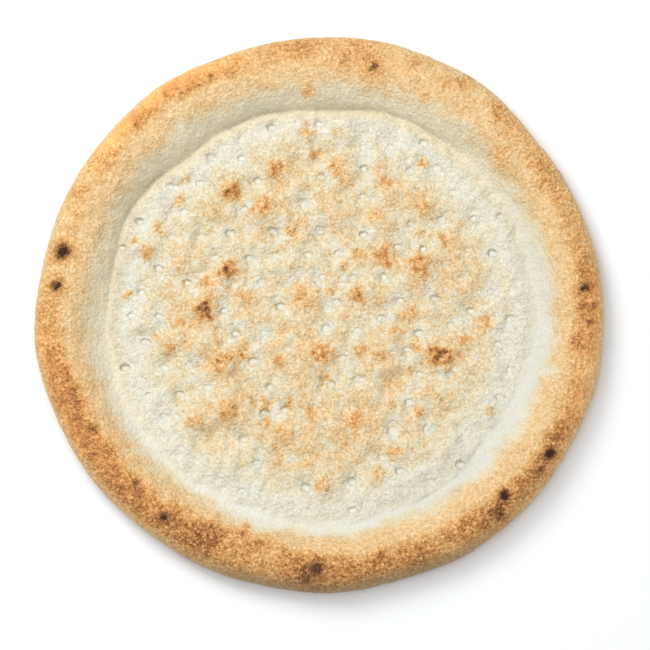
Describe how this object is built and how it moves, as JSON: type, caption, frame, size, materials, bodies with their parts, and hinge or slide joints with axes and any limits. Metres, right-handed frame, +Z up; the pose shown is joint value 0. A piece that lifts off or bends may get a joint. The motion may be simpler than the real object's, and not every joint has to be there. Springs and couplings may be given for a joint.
{
  "type": "pizza base",
  "caption": "Round baked flatbread base with a wide, puffed, raised rim and a low, blistered floor pricked with docking marks, lying on a flat underside.",
  "frame": {"origin": "middle of the flat underside, at the bottom centre of the bounding box", "axes": "+Z up through the thickness, the shortest extent; +X to the right and -Y towards the viewer in the picture"},
  "size_m": [0.2924, 0.2896, 0.0193],
  "materials": {
    "baked_dough": "matt baked dough: pale cream floor with tan blisters, rim toasted golden brown with a few charred spots"
  },
  "bodies": {
    "root": {"pizza_base": "baked_dough"}
  },
  "joints": []
}
